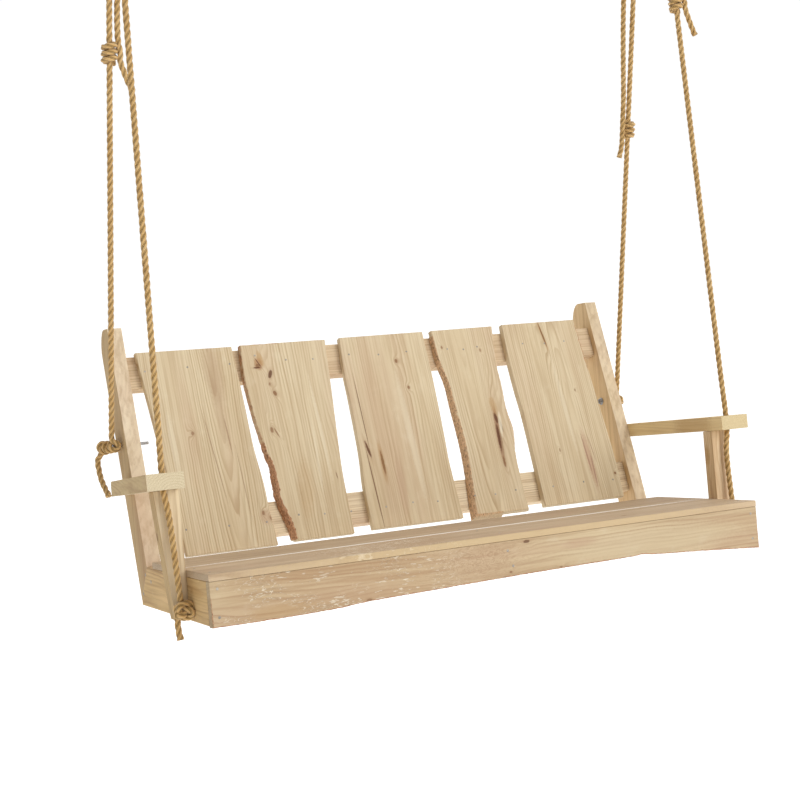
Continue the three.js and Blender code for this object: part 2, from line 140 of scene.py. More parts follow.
# ---- curves ----
def smooth_line(points, step):
    """Centripetal Catmull-Rom through the points, sampled about every step."""
    pts = [Vector(p) for p in points]
    pts = [pts[0] * 2 - pts[1]] + pts + [pts[-1] * 2 - pts[-2]]
    line = []
    for i in range(1, len(pts) - 2):
        p0, p1, p2, p3 = pts[i - 1 : i + 3]
        t0 = 0.0
        t1 = t0 + max((p1 - p0).length ** 0.5, 1e-5)
        t2 = t1 + max((p2 - p1).length ** 0.5, 1e-5)
        t3 = t2 + max((p3 - p2).length ** 0.5, 1e-5)
        count = max(2, math.ceil((p2 - p1).length / step))
        for k in range(count):
            t = t1 + (t2 - t1) * k / count

            def between(p, q, a, b):
                return p * ((b - t) / (b - a)) + q * ((t - a) / (b - a))

            a1, a2, a3 = between(p0, p1, t0, t1), between(p1, p2, t1, t2), between(p2, p3, t2, t3)
            line.append(between(between(a1, a2, t0, t2), between(a2, a3, t1, t3), t1, t2))
    line.append(pts[-2])
    return line


def length_of(line):
    return sum((b - a).length for a, b in zip(line, line[1:]))


def even(line, step):
    """The same line with points a step apart."""
    total = length_of(line)
    count = max(2, round(total / step))
    out, walked, i = [line[0].copy()], 0.0, 0
    for k in range(1, count):
        target = total * k / count
        while walked + (line[i + 1] - line[i]).length < target:
            walked += (line[i + 1] - line[i]).length
            i += 1
        span = line[i + 1] - line[i]
        out.append(line[i] + span * ((target - walked) / span.length))
    out.append(line[-1].copy())
    return out


# ---- meshes ----
def new_object(name, verts, faces, material, smooth=True):
    mesh = bpy.data.meshes.new(name)
    mesh.from_pydata([tuple(v) for v in verts], [], faces)
    mesh.validate()
    mesh.polygons.foreach_set("use_smooth", [smooth] * len(mesh.polygons))
    obj = bpy.data.objects.new(name, mesh)
    link(obj)
    mesh.materials.append(material)
    return obj


# ---- rope ----
LAY = 0.056  # one full turn of a strand
STRANDS = 3
PER_STRAND = 8
STRAND_OFF = 0.0032  # a strand's middle from the rope's
STRAND_R = 0.0046
UNEVEN = 0.035  # slow change of a rope's thickness
LUMPS = 0.03
FRAY = 0.01  # length of a cut end that opens out
FRAY_SWELL = 0.16


def rope_section():
    """Radius, place across its strand (-1 to 1) and strand of each point round the rope."""
    rows = []
    for k in range(STRANDS * PER_STRAND):
        strand, j = divmod(k, PER_STRAND)
        across = (j + 0.5) / PER_STRAND * 2 - 1
        phi = across * math.pi / STRANDS
        radius = STRAND_OFF * math.cos(phi) + math.sqrt(
            STRAND_R**2 - (STRAND_OFF * math.sin(phi)) ** 2)
        rows.append((radius, across, strand, (strand + 0.5) * 2 * math.pi / STRANDS + phi))
    return rows


def rope_mesh(name, line, material, thick=1.0, frayed=False, seed=0, start=0, stop=None):
    """A three-strand rope along a line, from its point start to stop. The strands turn
    right-handed. Its lay attribute holds each point's place across its strand, its distance
    along the rope and a number for its strand."""
    stop = len(line) - 1 if stop is None else stop
    section = rope_section()
    n = len(section)
    first = (line[1] - line[0]).normalized()
    ref = Vector((0.31, 0.87, 0.38))
    normal = (ref - first * ref.dot(first)).normalized()
    verts, lay = [], []
    walked = 0.0
    total = length_of(line)
    before = first
    for i, p in enumerate(line):
        ahead = (line[min(i + 1, len(line) - 1)] - line[max(i - 1, 0)]).normalized()
        if i:
            walked += (line[i] - line[i - 1]).length
            normal = before.rotation_difference(ahead) @ normal
            normal = (normal - ahead * normal.dot(ahead)).normalized()
        before = ahead
        if i < start or i > stop:
            continue
        side = ahead.cross(normal)
        swell = thick * (1 + UNEVEN * noise.noise(Vector((walked * 38, seed * 3.1, 0.0))))
        if frayed and total - walked < FRAY:
            swell *= 1 + FRAY_SWELL * (1 - (total - walked) / FRAY)
        for radius, where, strand, angle in section:
            a = angle + 2 * math.pi * walked / LAY
            lump = 1 + LUMPS * noise.noise(Vector((walked * 120, strand * 7.7 + seed, where)))
            verts.append(p + (normal * math.cos(a) + side * math.sin(a)) * radius * swell * lump)
            lay.append((where, walked, strand + seed * 3))
    faces = []
    for i in range(stop - start):
        for k in range(n):
            a, b = i * n + k, i * n + (k + 1) % n
            faces.append((a, b, b + n, a + n))
    for ring, order in ((0, -1), (stop - start, 1)):
        middle = len(verts)
        i = ring + start
        tip = (line[i + 1] - line[i]) if ring == 0 else (line[i - 1] - line[i])
        verts.append(line[i] - tip.normalized() * 0.0012)
        lay.append((0.9, lay[ring * n][1], seed * 3))
        for k in range(n):
            a, b = ring * n + k, ring * n + (k + 1) % n
            faces.append((a, b, middle)[::order])
    obj = new_object(name, verts, faces, material)
    attribute = obj.data.attributes.new("lay", "FLOAT_VECTOR", "POINT")
    for i, value in enumerate(lay):
        attribute.data[i].vector = value
    return obj


# ---- node helper ----
class Shader:
    """Short names for the nodes that the materials are made of."""

    def __init__(self, name):
        self.material = bpy.data.materials.new(name)
        self.material.use_nodes = True
        self.tree = self.material.node_tree
        self.tree.nodes.clear()
        self.out = self.tree.nodes.new("ShaderNodeOutputMaterial")
        self.surface = self.tree.nodes.new("ShaderNodeBsdfPrincipled")
        self.tree.links.new(self.surface.outputs[0], self.out.inputs[0])

    def put(self, socket, value):
        if isinstance(value, bpy.types.NodeSocket):
            self.tree.links.new(value, socket)
        elif isinstance(value, tuple) and len(value) == 3 and socket.type == "RGBA":
            socket.default_value = (*value, 1)
        else:
            socket.default_value = value

    def node(self, kind, *values, **settings):
        """A node with its first inputs filled in order."""
        node = self.tree.nodes.new(f"ShaderNode{kind}")
        for name, value in settings.items():
            setattr(node, name, value)
        for socket, value in zip(node.inputs, values):
            self.put(socket, value)
        return node

    def math(self, operation, a, b=0.0, c=0.0, clamp=False):
        return self.node("Math", a, b, c, operation=operation, use_clamp=clamp).outputs[0]

    def mul(self, a, b, clamp=False):
        return self.math("MULTIPLY", a, b, clamp=clamp)

    def add(self, a, b):
        return self.math("ADD", a, b)

    def mul_add(self, a, b, c):
        return self.math("MULTIPLY_ADD", a, b, c)

    def oval(self, across, along, half_across, half_along):
        """Squared distance from an oval's middle: 1 on its edge."""
        return self.add(self.math("POWER", self.mul(across, 1 / half_across), 2.0),
                        self.math("POWER", self.mul(along, 1 / half_along), 2.0))

    def vector(self, operation, a, b=(0, 0, 0)):
        node = self.node("VectorMath", a, b, operation=operation)
        return node.outputs["Value" if operation == "DOT_PRODUCT" else "Vector"]

    def join(self, x, y, z):
        return self.node("CombineXYZ", x, y, z).outputs[0]

    def split(self, value):
        return self.node("SeparateXYZ", value).outputs

    def noise(self, vector, scale=1.0, detail=2.0, rough=0.5, distortion=0.0):
        node = self.node("TexNoise", vector)
        node.inputs["Scale"].default_value = scale
        node.inputs["Detail"].default_value = detail
        node.inputs["Roughness"].default_value = rough
        node.inputs["Distortion"].default_value = distortion
        return node.outputs["Fac"]

    def ramp(self, value, stops):
        node = self.node("ValToRGB", value)
        row = node.color_ramp.elements
        while len(row) < len(stops):
            row.new(0.5)
        for element, (place, colour) in zip(row, stops):
            element.position = place
            shade = colour if isinstance(colour, tuple) else (colour,) * 3
            element.color = (*shade, 1)
        return node.outputs["Color"]

    def stain(self, colour, share, strength, tint):
        return self.mix(self.mul(share, strength), colour, tint)

    def mix(self, amount, a, b, blend="MIX"):
        node = self.node("Mix", amount, data_type="RGBA", blend_type=blend)
        self.put(node.inputs[6], a)
        self.put(node.inputs[7], b)
        return node.outputs[2]

    def span(self, value, low, high, to_low=0.0, to_high=1.0):
        return self.node("MapRange", value, low, high, to_low, to_high,
                         interpolation_type="SMOOTHSTEP").outputs[0]

    def attribute(self, name):
        return self.node("Attribute", attribute_name=name)

    def true_normal(self):
        return self.node("TexCoord").outputs["Normal"]

    def place(self):
        return self.node("TexCoord").outputs["Object"]

    def bump(self, height, distance, strength=1.0):
        node = self.node("Bump")
        node.inputs["Strength"].default_value = strength
        node.inputs["Distance"].default_value = distance
        self.put(node.inputs["Height"], height)
        self.put(self.surface.inputs["Normal"], node.outputs[0])

    def finish(self, colour, roughness, metallic, specular):
        self.put(self.surface.inputs["Base Color"], colour)
        self.put(self.surface.inputs["Roughness"], roughness)
        self.surface.inputs["Metallic"].default_value = metallic
        self.surface.inputs["Specular IOR Level"].default_value = specular
        return self.material


# ---- rope material ----
def make_rope_material():
    s = Shader("laid_rope")
    across, along, strand = s.split(s.attribute("lay").outputs["Vector"])
    groove = s.math("ABSOLUTE", across)
    fibre_place = s.join(
        s.mul_add(along, 60.0, s.mul(across, 0.9)),
        s.mul_add(across, 9.0, s.mul(along, -420.0)),
        s.mul(strand, 5.3))
    fibre = s.noise(fibre_place, 1.0, 3.0, 0.6)
    yarn_turn = s.mul_add(across, 2.5, s.mul(along, -190.0))
    yarn = s.mul_add(s.math("SINE", s.mul(yarn_turn, 6.2832)), 0.5, 0.5)
    patch = s.noise(s.place(), 38.0, 3.0, 0.6)
    colour = s.ramp(patch, [(0.3, (0.5, 0.28, 0.08)), (0.5, (0.63, 0.39, 0.14)),
                            (0.72, (0.74, 0.5, 0.22))])
    streak = s.span(fibre, 0.32, 0.72)
    colour = s.stain(colour, streak, 0.42, (0.86, 0.62, 0.33))
    # painted shade: darker in the creases between the yarns
    yarn_crease_shade = s.mul(s.span(yarn, 0.25, 0.0), 0.35)
    colour = s.mix(yarn_crease_shade, colour, (0.28, 0.15, 0.045))
    # painted shade: darker in the grooves between the strands
    shade = s.span(groove, 0.3, 0.92)
    colour = s.stain(colour, shade, 0.9, (0.21, 0.115, 0.022))
    height = s.add(s.mul(yarn, 0.6), s.mul(fibre, 0.9))
    s.bump(height, 0.0007)
    s.surface.inputs["Sheen Weight"].default_value = 0.25
    s.surface.inputs["Sheen Roughness"].default_value = 0.5
    return s.finish(colour, s.mul_add(fibre, 0.2, 0.68), 0.0, 0.2)


ROPE = make_rope_material()

# ---- rope routes, the same places as in the CAD ----
ROPES = {
    "rear_left": {"knot": (0.024, REAR_BOLT_Z), "hitch": 1.243, "spread": 0.022,
                  "tail": (-0.026, -0.072)},
    "rear_right": {"knot": (0.02, REAR_BOLT_Z), "hitch": 1.08, "spread": 0.032,
                   "tail": (-0.014, -0.066), "shift": 0.01},
    "front_left": {"knot": (0.023, FRONT_BOLT_Z), "hitch": 1.452, "spread": 0.02,
                   "tail": (-0.02, -0.066)},
    "front_right": {"knot": (0.032, FRONT_BOLT_Z), "hitch": 1.378, "spread": 0.022,
                    "tail": (0.03, -0.07), "turn": 1, "end": 0.014},
}
REAR_BOLT_Y = POST_FOOT_Y + REAR_BOLT_Z * TAN + POST_W / 2
RING = PIN_R + ROPE_R + 0.0006
KNOT_DROP = Vector((0, 0, 0.006))  # straight rope below a knot's first point
CORD_STEP, KNOT_STEP = 0.0035, 0.003
CROWN_STEPS = 8
CROWN_LOW = 0.13  # the rope is straight again this far below its pin
BESIDE = 0.0245  # the rope's end lies this far from the middle of its hitch
HITCH_TURNS, HITCH_COIL_R, HITCH_PITCH = 3.0, 0.0137, 0.0152
HITCH_THICK = 0.97
FRONT_END = 0.044  # an end hangs this far out of a front knot
OVERHAND = 0.0068  # a third of the knot's reach from its middle
OVERHAND_CUT = 0.42  # the closed curve of the knot opens by this angle each way
OVERHAND_STEPS = 40
REAR_TURNS, REAR_STEPS = 3.25, 48
REAR_FIRST = 0.9 * math.pi


def pull(a, b, z):
    """The point at height z on the straight line through a and b."""
    return a.lerp(b, (z - a.z) / (b.z - a.z))


def beyond(sign, out, y, z):
    """A point this far out from the seat boards' end on one side."""
    return Vector((sign * (HALF + out), y, z))


def laid(points, step):
    """A smooth line in the shared frame through points in seat coordinates."""
    return even(smooth_line([SEAT @ p for p in points], 0.002), step)


def coil(centre, axis, start, radius, turns, pitch, begin=0.0, steps=14):
    """Points on a helix: centre of its first turn, the way it advances, the way to its start."""
    side = axis.cross(start)
    return [
        centre + axis * (pitch * k / steps)
        + (start * math.cos(begin + 2 * math.pi * k / steps)
           + side * math.sin(begin + 2 * math.pi * k / steps)) * radius
        for k in range(round(turns * steps) + 1)
    ]


def front_knot(sign, start, out, bolt_y, z, spec):
    """An overhand knot pulled down on its eye bolt, with its end hanging out of it."""
    centre = beyond(sign, out, bolt_y - 0.014, z)
    reach = Vector((-sign * 1.0, -0.25, 0.0)).normalized()
    depth = Vector((-sign * 0.25, 1.0, 0.0)).normalized()

    def knot_at(t):
        ring = (2 + math.cos(3 * t)) * OVERHAND
        return (centre - reach * (ring * math.cos(2 * t) * 1.32)
                + Vector((0, 0, 1)) * (ring * math.sin(2 * t) * 0.86)
                + depth * (math.sin(3 * t) * OVERHAND * 1.05))

    first, last = 2 * math.pi - OVERHAND_CUT, OVERHAND_CUT
    body = [knot_at(first - (first - last) * k / OVERHAND_STEPS)
            for k in range(OVERHAND_STEPS + 1)]
    end = body[-1]
    tail = [end + Vector((0, 0.001, -0.012)), Vector((end.x, end.y + 0.001, z - KNOT_R - 0.018)),
            Vector((end.x - sign * 0.003, end.y + 0.002,
                    z - KNOT_R - spec.get("end", FRONT_END)))]
    if "end" in spec:
        tail = [tail[0], tail[2]]
    return [start, start - KNOT_DROP] + body, tail


def rear_knot(sign, start, out, bolt_y, z, spec):
    """Three turns wound back from the bolt's ring, then the end hooks down."""
    out += spec.get("shift", 0.0)
    wound = []
    for k in range(REAR_STEPS + 1):
        share = k / REAR_STEPS
        turn = REAR_FIRST + 2 * math.pi * REAR_TURNS * share
        radius = 0.0085 + 0.004 * share
        wound.append(beyond(sign, out - 0.006 + 0.018 * share + math.cos(turn) * radius,
                            bolt_y - 0.012 + 0.086 * share,
                            z - 0.001 + math.sin(turn) * radius - 0.003 * share))
    b = beyond(sign, out + 0.01, bolt_y + 0.078, z - 0.004)
    tail = [b + Vector((sign * 0.008, 0.01, -0.03)), b + Vector((sign * 0.008, 0.01, -0.05)),
            b + Vector((sign * 0.006, -0.004, -0.084)), b + Vector((0, -0.04, -0.124))]
    return [start, start - KNOT_DROP] + wound, tail


def make_rope(label, spec, seed):
    sign = SIDES[label.split("_")[1]]
    front = label.startswith("front")
    bolt_y = ROPE_HOLE_Y if front else REAR_BOLT_Y
    out, knot_z = spec["knot"]
    pin_out = HANG_OUT + (ROPE_R + 0.001) * (1 if front else -1)
    near = -1 if front else 1

    def in_hole(z, inside=0.0):
        return beyond(sign, ROPE_HOLE_OUT - inside, ROPE_HOLE_Y, z)

    def on_pin(angle):
        return beyond(sign, pin_out, HANG_Y + near * RING * math.cos(angle),
                      HANG_H + RING * math.sin(angle))

    main_top, return_top = on_pin(0), on_pin(math.pi)
    start = beyond(sign, out + (0.003 if front else 0), bolt_y - (0.009 if front else 0),
                   knot_z + KNOT_R + 0.0016)
    if front:
        through = in_hole(ARM_TOP - FRAME_T / 2)
    else:
        through = pull(start, main_top, knot_z + 0.06)
    axis = (main_top - through).normalized()
    low = pull(through, main_top, spec["hitch"] - HITCH_H / 2)
    high = low + axis * (HITCH_H + 0.0008)
    under = ARM_TOP - FRAME_T
    if front:
        strand = [start, in_hole(under - 0.06, 0.008), in_hole(under - 0.008, 0.0008), through,
                  in_hole(ARM_TOP + 0.006), pull(through, main_top, ARM_TOP + 0.12), low]
    else:
        strand = [start, through, pull(start, main_top, 0.7), low]

    # over the pin and back down to the hitch, then down its side and out as the end
    turn = spec.get("turn", -1)
    inward = Vector((sign * turn, 0, 0))
    forward = Vector((0, -1, 0))
    return_low = high + inward * (ROPE_D + 0.003)
    bow = pull(high, main_top, (spec["hitch"] + HANG_H) / 2) + inward * spec["spread"]
    crown = [on_pin(part * math.pi / CROWN_STEPS) for part in range(CROWN_STEPS + 1)]
    riser = [high + inward * 0.0215 + forward * 0.003,
             low + axis * 0.03 + inward * BESIDE + forward * 0.008,
             low + axis * 0.008 + inward * BESIDE + forward * 0.008]
    tail_out, tail_down = spec["tail"]
    first = riser[-1]
    tail = [first + Vector((sign * tail_out * 0.25, 0, tail_down * 0.35)),
            first + Vector((sign * tail_out * 0.62, 0.002, tail_down * 0.72)),
            first + Vector((sign * tail_out, 0.006, tail_down))]
    route = (strand + [high, pull(high, main_top, HANG_H - CROWN_LOW)] + crown
             + [pull(return_low, return_top, HANG_H - CROWN_LOW), bow,
                high + inward * 0.0195 + axis * 0.05] + riser + tail)
    line = laid(route, CORD_STEP)
    cord = rope_mesh(f"cord_{label}", line, ROPE, frayed=True, seed=seed)

    wound = coil(low + axis * 0.004 - inward * 0.0005, axis, inward, HITCH_COIL_R, HITCH_TURNS,
                 HITCH_PITCH, begin=0.3)
    hitch = rope_mesh(f"turns_{label}", laid(wound, KNOT_STEP), ROPE, thick=HITCH_THICK,
                      seed=seed + 11)

    build = front_knot if front else rear_knot
    knot_line, tail = build(sign, start, out, bolt_y, knot_z, spec)
    tied = laid(knot_line + tail, KNOT_STEP)
    bend = SEAT @ knot_line[-1]
    stop = min(range(len(tied)), key=lambda i: (tied[i] - bend).length)
    if front:
        stop = len(tied) - 1
    knot = rope_mesh(f"tied_{label}", tied, ROPE, frayed=True, seed=seed + 23, stop=stop)
    pieces = [cord, hitch, knot]
    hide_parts(f"rope_{label}", f"bight_{label}", f"hitch_tail_{label}")
    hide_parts(f"hitch_{label}")
    if front:
        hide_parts(f"knot_{label}", f"knot_tail_{label}")
    else:
        end = rope_mesh(f"end_{label}", tied, ROPE, frayed=True, seed=seed + 23, start=stop)
        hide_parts(f"knot_{label}")
        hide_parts(f"knot_tail_{label}")
        pieces.append(end)
    for piece in pieces:
        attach(piece, "swing")


for seed, (label, spec) in enumerate(ROPES.items()):
    make_rope(label, spec, seed + 1)

# ---- wood ----
# A mark is a place on the board's face: (along the grain, across it, half length, half width,
# slope of its long axis, colour, strength), the first four in millimetres. A knot also bends
# the growth rings round itself.
KNOT_BROWN = (0.25, 0.125, 0.055)
DARK_CRACK = (0.14, 0.058, 0.026)
HALO = (0.4, 0.24, 0.13)
PINK = (0.5, 0.315, 0.205)
AMBER = (0.46, 0.27, 0.105)
PALE = (0.8, 0.71, 0.53)
BARK = (0.38, 0.185, 0.095)
TAN_BARK = (0.47, 0.29, 0.16)
KNOT_PUSH = 0.016  # how far a knot pushes the rings aside, in metres
WALNUT = (0.4, 0.26, 0.155)
THIN_BROWN = (0.32, 0.19, 0.11)
RED_LINE = (0.34, 0.18, 0.12)
SHADE_BROWN = (0.43, 0.26, 0.135)


def wood(name, along, across, origin, light, mid, ring, heart, spacing=0.0085, blush=0.25,
         marks=(), bark=None, seed=0, figure=1.0, cathedral=None, end_tone=0.82, burl=None,
         galleries=None, shade=1.0, sway_size=0.06, side_tone=()):
    """Sawn timber: rings about a heart line, fibre, pores, blushes of colour and marks.
    along and across are unit vectors of the grain and of the board's width."""
    s = Shader(name)
    here = s.vector("SUBTRACT", s.place(), tuple(origin))
    u = s.vector("DOT_PRODUCT", here, tuple(along))
    v = s.vector("DOT_PRODUCT", here, tuple(across))
    w = s.vector("DOT_PRODUCT", here, tuple(along.cross(across)))

    def stretched(ku, kv, kw, offset=0.0):
        return s.join(s.mul_add(u, ku, seed * 3.7 + offset),
                      s.mul_add(v, kv, seed * 1.3),
                      s.mul_add(w, kw, offset))

    def grain(ku, kv, kw, offset, detail=2.0, rough=0.5, distortion=0.0):
        return s.noise(stretched(ku, kv, kw, offset), 1.0, detail, rough, distortion)

    # marks: soft spots, each in its own stretched coordinates
    spots, bend = [], None
    for mu, mv, ru, rv, slope, colour, strength in marks:
        mu, mv, ru, rv = mu / 1000, mv / 1000, ru / 1000, rv / 1000
        du = s.add(u, -mu)
        dv = s.mul_add(du, -slope, s.add(v, -mv))
        far = s.oval(du, dv, ru, rv)
        spots.append((far, colour, strength))
        if colour in (KNOT_BROWN, AMBER) and rv < 0.02:
            push = s.mul(s.math("EXPONENT", s.mul(far, -0.16)),
                         KNOT_PUSH * (1 if mv > heart[0] else -1))
            bend = push if bend is None else s.add(bend, push)

    # growth rings
    sway = grain(1.6, 7.0, 5.0, 3.1)
    wobble = grain(9.0, 34.0, 30.0, 7.7, 2.0, 0.55)
    dv = s.add(s.add(v, -heart[0]), s.mul_add(sway, sway_size, -sway_size / 2))
    if bend is not None:
        dv = s.add(dv, bend)
    depth = s.add(w, -heart[1])
    if cathedral:
        peak, steep = cathedral
        rise = s.math("POWER", s.math("ABSOLUTE", s.add(u, -peak)), 1.25)
        depth = s.add(depth, s.mul(rise, steep))
    away = s.math("SQRT", s.add(s.mul(dv, dv), s.mul(depth, depth)))
    count = s.add(s.mul(away, 1 / spacing), s.mul(wobble, 0.9 * figure))
    if burl:
        bu, bv, ru, rv = burl
        far = s.oval(s.add(u, -bu), s.add(v, -bv), ru, rv)
        burl_here = s.math("EXPONENT", s.mul(far, -1.0))
        swirl = grain(24.0, 60.0, 30.0, 1.9, 2.0, 0.55, 0.8)
        count = s.add(count, s.mul(s.mul(swirl, 6.0), burl_here))
    part = s.math("FRACT", count)
    band = s.mul(s.span(part, 0.3, 0.9), s.span(part, 1.0, 0.93))
    which = s.math("FRACT", s.mul(s.math("FLOOR", count), 0.371))
    bold = s.mul_add(which, 0.75, 0.25)

    fibre = grain(7.0, 520.0, 420.0, 5.0, 3.0, 0.65)
    streaks = grain(3.2, 90.0, 70.0, 9.0, 3.0, 0.6)
    broad = grain(2.0, 16.0, 12.0, 2.0)
    cloud = grain(14.0, 22.0, 20.0, 6.0, 3.0, 0.55)

    colour = s.mix(s.span(broad, 0.34, 0.66), mid, light)
    colour = s.stain(colour, s.span(streaks, 0.42, 0.68), 0.42, ring)
    strong = s.span(grain(2.6, 20.0, 16.0, 4.4), 0.36, 0.62, 0.35, 1.25)
    ring_share = s.mul(s.mul(band, bold), s.mul(strong, 0.66 * figure), clamp=True)
    colour = s.mix(ring_share, colour, ring)
    blush_where = s.span(grain(1.4, 9.0, 9.0, 0.0), 0.46, 0.7)
    specks = s.span(grain(24.0, 900.0, 700.0, 4.0, 1.0, 0.5), 0.7, 0.8)
    for share, strength, tint in (
            (blush_where, blush, PINK), (s.span(cloud, 0.56, 0.78), 0.2, PALE),
            (s.span(fibre, 0.56, 0.86), 0.42, ring), (s.span(fibre, 0.4, 0.14), 0.3, light),
            (specks, 0.3, KNOT_BROWN)):
        colour = s.stain(colour, share, strength, tint)
    if burl:
        swirl_line = s.math("ABSOLUTE", s.mul_add(s.math("FRACT", s.mul(swirl, 9.0)), 2.0, -1.0))
        swirl_share = s.mul(s.span(swirl_line, 0.35, 0.95), burl_here)
        colour = s.stain(colour, burl_here, 0.4, PINK)
        colour = s.stain(colour, swirl_share, 0.55, ring)

    height = s.add(s.mul(fibre, 0.55), s.mul(band, -0.22))
    if galleries:
        low_u, high_u = galleries
        zone = s.mul(s.span(u, low_u, low_u + 0.1), s.span(u, high_u, high_u - 0.22))
        patchy = s.span(grain(9.0, 16.0, 9.0, 8.8, 1.0, 0.5), 0.44, 0.6)
        worm = grain(42.0, 150.0, 60.0, 1.2, 1.0, 0.5, 0.6)
        line = s.math("ABSOLUTE", s.add(worm, -0.5))
        trail = s.mul(s.span(line, 0.03, 0.012), s.mul(zone, patchy))
        fleck = grain(48.0, 230.0, 90.0, 6.3)
        crowd = s.span(grain(6.0, 14.0, 9.0, 4.8, 1.0, 0.5), 0.38, 0.62)
        lot = s.mul_add(s.mul(crowd, zone), 0.2, fleck)
        flecks = s.mul(s.span(lot, 0.765, 0.8), zone)
        dug = s.math("MAXIMUM", trail, flecks)
        colour = s.stain(colour, zone, 0.22, (0.46, 0.27, 0.14))
        colour = s.stain(colour, dug, 0.8, (0.84, 0.73, 0.56))
        height = s.mul_add(dug, -0.9, height)
    rough_edge = grain(160.0, 160.0, 160.0, 2.2, 2.0, 0.6)
    for far, tint, strength in spots:
        soft = s.add(far, s.mul_add(rough_edge, 0.9, -0.45))
        sharp = tint in (KNOT_BROWN, DARK_CRACK)
        share = s.mul(s.span(soft, 1.3, 0.4 if sharp else 0.15), strength)
        if sharp:
            halo = s.mul(s.span(far, 5.0, 1.0), 0.3 * strength)
            colour = s.mix(halo, colour, HALO)
        colour = s.mix(share, colour, tint)
        if sharp:
            height = s.mul_add(share, -1.2, height)
    if bark:
        edge = s.attribute("bark").outputs["Fac"]
        torn = grain(60.0, 60.0, 60.0, 0.3, 4.0, 0.65)
        cover = s.span(s.add(edge, s.mul_add(torn, 0.9, -0.45)), 0.36, 0.62)
        flake = grain(120.0, 330.0, 260.0, 3.0, 4.0, 0.75)
        skin = s.ramp(flake, [(0.36, tuple(c * 0.3 for c in bark)), (0.46, bark),
                              (0.56, tuple(c * 1.45 for c in bark)), (0.7, (0.66, 0.47, 0.3))])
        colour = s.stain(colour, cover, 0.92, skin)
        height = s.add(height, s.mul(cover, s.mul_add(flake, 2.6, -1.2)))

    # end grain is darker and shows the rings
    facing = s.vector("DOT_PRODUCT", s.true_normal(), tuple(along))
    end = s.span(s.math("ABSOLUTE", facing), 0.55, 0.85)
    speckle = grain(60.0, 700.0, 700.0, 0.9, 2.0, 0.6)
    end_tint = s.mix(s.span(speckle, 0.38, 0.66), tuple(c * end_tone * 0.86 for c in mid),
                     tuple(c * end_tone * 1.12 for c in light))
    end_tint = s.stain(end_tint, band, 0.18, tuple(c * 0.8 for c in ring))
    colour = s.stain(colour, end, 0.85, end_tint)
    if shade != 1.0:
        colour = s.mix(1.0, colour, (shade,) * 3, "MULTIPLY")
    # painted shade: faces that look along a given way (here the bench's left end) are darkened by
    # the tint, as if less lit
    for way, tone in side_tone:
        shaded_side_share = s.vector("DOT_PRODUCT", s.true_normal(), tuple(TURN @ Vector(way)))
        colour = s.mix(s.span(shaded_side_share, 0.55, 0.85), colour, s.mix(1.0, colour, tone, "MULTIPLY"))
    s.bump(height, 0.0006, 0.85)
    rough = s.mul_add(fibre, 0.18, 0.58)
    return s.finish(colour, rough, 0.0, 0.28)


# ---- places that the boards' outlines are measured in ----
class Face:
    """A flat face: origin, grain direction a, width direction b, and the way it looks."""

    def __init__(self, origin, a, b):
        self.origin = at(*origin)
        self.a = (TURN @ Vector(a)).normalized()
        self.b = (TURN @ Vector(b)).normalized()
        self.n = self.a.cross(self.b)

    def flat(self, point):
        d = point - self.origin
        return d.dot(self.a), d.dot(self.b)

    def point(self, p, q, depth=0.0):
        return self.origin + self.a * p + self.b * q - self.n * depth


BACK_FACE = Face((0, POST_FOOT_Y, 0), (1, 0, 0), (0, SIN, COS))
APRON_FACE = Face((0, 0, 0), (1, 0, 0), (0, 0, 1))
SLAT_FACE = Face((0, 0, 0), (1, 0, 0), (0, 1, 0))


def outline_of(node, face):
    """The front outline of a CAD board, as (a, b) places going round its face."""
    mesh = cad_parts[node].data
    corner, spots, where = {}, {}, []
    for v in mesh.vertices:
        number = corner.setdefault(tuple(round(c, 5) for c in v.co), len(corner))
        spots[number] = v.co
        where.append(number)
    edges = {}
    for poly in mesh.polygons:
        if poly.normal.dot(face.n) < 0.9:
            continue
        ring = [where[i] for i in poly.vertices]
        for a, b in zip(ring, ring[1:] + ring[:1]):
            if edges.pop((b, a), None) is None:
                edges[(a, b)] = True
    follow = {a: b for a, b in edges}
    start = min(follow)
    loop, here = [start], follow[start]
    while here != start and len(loop) <= len(follow):
        loop.append(here)
        here = follow[here]
    return [face.flat(spots[i]) for i in loop]


def resample(loop, step=0.006, sharp=math.radians(38)):
    """The outline with its curves smoothed and its true corners kept. Each point is
    (a, b, is a corner)."""
    pts = [Vector((a, b, 0)) for a, b in loop]
    n = len(pts)
    corners = []
    for i in range(n):
        before, after = pts[i] - pts[i - 1], pts[(i + 1) % n] - pts[i]
        if before.length > 1e-6 and after.length > 1e-6 and before.angle(after) > sharp:
            corners.append(i)
    out = []
    for i, first in enumerate(corners):
        last = corners[(i + 1) % len(corners)]
        run = [pts[(first + k) % n] for k in range((last - first) % n + 1)]
        curve = even(smooth_line(run, step / 2), step)
        for k, p in enumerate(curve[:-1]):
            out.append((p.x, p.y, k == 0))
    return out


ARRIS = 0.0018
CAP_INSET = 0.0026  # the flat face's own edge inside the softened arris
ARRIS_STEPS = 3
SIDE_STEPS = 5


